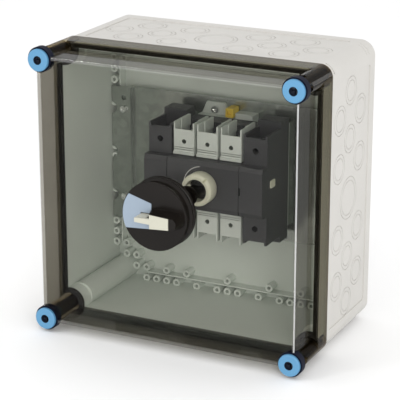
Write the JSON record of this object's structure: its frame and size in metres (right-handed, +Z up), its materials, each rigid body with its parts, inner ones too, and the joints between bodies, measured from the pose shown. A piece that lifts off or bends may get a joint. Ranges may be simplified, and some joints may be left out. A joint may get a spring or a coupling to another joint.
{
  "type": "dc combiner box",
  "caption": "Wall-mounted insulated box with a smoke-tinted lift-off lid, corner quarter-turn fasteners and a rotary switch-disconnector on a mounting plate.",
  "frame": {"origin": "centre of the back of the box, in the plane that lies on the wall", "axes": "+X to the right seen from the front, +Y into the wall (the lid faces -Y), +Z up"},
  "size_m": [0.3042, 0.2208, 0.3042],
  "materials": {
    "base_grey": "light grey moulded, fine satin texture",
    "lid_tint": "smoke-tinted clear polycarbonate",
    "seal_black": "matt sealing rubber",
    "fastener_blue": "sky blue moulded, semi-gloss",
    "fastener_navy": "dark blue-black moulded",
    "insert_brass": "machined brass",
    "galvanised": "galvanised sheet",
    "screw_steel": "bright zinc-plated steel",
    "switch_dark": "anthracite moulded, satin",
    "cover_grey": "light grey moulded",
    "marker_ochre": "ochre moulded",
    "ivory": "ivory moulded",
    "label_blue": "pale blue plain insert",
    "knob_black": "black moulded, glossy",
    "contact_copper": "silvered copper",
    "clamp_steel": "plated steel",
    "hub_black": "black glass-filled nylon",
    "carriage_white": "natural nylon",
    "spring_steel": "spring steel"
  },
  "bodies": {
    "base": {"base_shell": "base_grey", "fastener_inserts": "insert_brass", "mounting_plate": "galvanised", "plate_screws": "screw_steel", "switch_frame": "cover_grey", "switch_screws": "screw_steel", "marker_clip": "marker_ochre", "switch_housing": "switch_dark", "side_block_left": "switch_dark", "side_block_right": "switch_dark", "indicator_insert": "ivory", "terminal_cover_top_1": "cover_grey", "terminal_cover_top_2": "cover_grey", "terminal_cover_top_3": "cover_grey", "terminal_cover_bottom_1": "cover_grey", "terminal_cover_bottom_2": "cover_grey", "terminal_cover_bottom_3": "cover_grey", "terminal_clamps": "clamp_steel", "fixed_contacts": "contact_copper", "clamp_screws": "screw_steel", "snap_spring": "spring_steel"},
    "lid": {"lid_shell": "lid_tint", "lid_gasket": "seal_black", "handle_bezel": "knob_black", "handle_seal": "seal_black", "handle_nut": "knob_black"},
    "handle": {"handle_knob": "knob_black", "handle_sector": "label_blue", "handle_pointer": "ivory", "handle_shaft": "knob_black"},
    "drive": {"drive_hub": "hub_black", "drive_ring": "ivory"},
    "carriage": {"contact_carriage": "carriage_white", "moving_contacts": "contact_copper"},
    "fastener_top_left": {"fastener_bolt_top_left": "fastener_blue", "fastener_collar_top_left": "fastener_navy"},
    "fastener_top_right": {"fastener_bolt_top_right": "fastener_blue", "fastener_collar_top_right": "fastener_navy"},
    "fastener_bottom_left": {"fastener_bolt_bottom_left": "fastener_blue", "fastener_collar_bottom_left": "fastener_navy"},
    "fastener_bottom_right": {"fastener_bolt_bottom_right": "fastener_blue", "fastener_collar_bottom_right": "fastener_navy"}
  },
  "joints": [
    {"name": "lid_lift", "type": "slide", "parent": "base", "child": "lid", "axis": [0, -1, 0], "range_m": [0, 0.2]},
    {"name": "handle_turn", "type": "hinge", "parent": "lid", "child": "handle", "pos_m": [0, -0.19, 0], "axis": [0, 1, 0], "range_deg": [0, 90]},
    {"name": "drive_turn", "type": "hinge", "parent": "base", "child": "drive", "pos_m": [0, -0.09, 0], "axis": [0, 1, 0], "range_deg": [0, 90]},
    {"name": "carriage_slide", "type": "slide", "parent": "base", "child": "carriage", "axis": [0, 0, 1], "range_m": [0, 0.008]},
    {"name": "fastener_top_left_turn", "type": "hinge", "parent": "lid", "child": "fastener_top_left", "pos_m": [-0.139, -0.18, 0.139], "axis": [0, 1, 0], "range_deg": [0, 90]},
    {"name": "fastener_top_right_turn", "type": "hinge", "parent": "lid", "child": "fastener_top_right", "pos_m": [0.139, -0.18, 0.139], "axis": [0, 1, 0], "range_deg": [0, 90]},
    {"name": "fastener_bottom_left_turn", "type": "hinge", "parent": "lid", "child": "fastener_bottom_left", "pos_m": [-0.139, -0.18, -0.139], "axis": [0, 1, 0], "range_deg": [0, 90]},
    {"name": "fastener_bottom_right_turn", "type": "hinge", "parent": "lid", "child": "fastener_bottom_right", "pos_m": [0.139, -0.18, -0.139], "axis": [0, 1, 0], "range_deg": [0, 90]}
  ],
  "couplings": [
    {"joint": "drive_turn", "follows": "handle_turn", "ratio": 1},
    {"joint": "carriage_slide", "follows": "handle_turn", "m_per_rad": 0.005093}
  ]
}
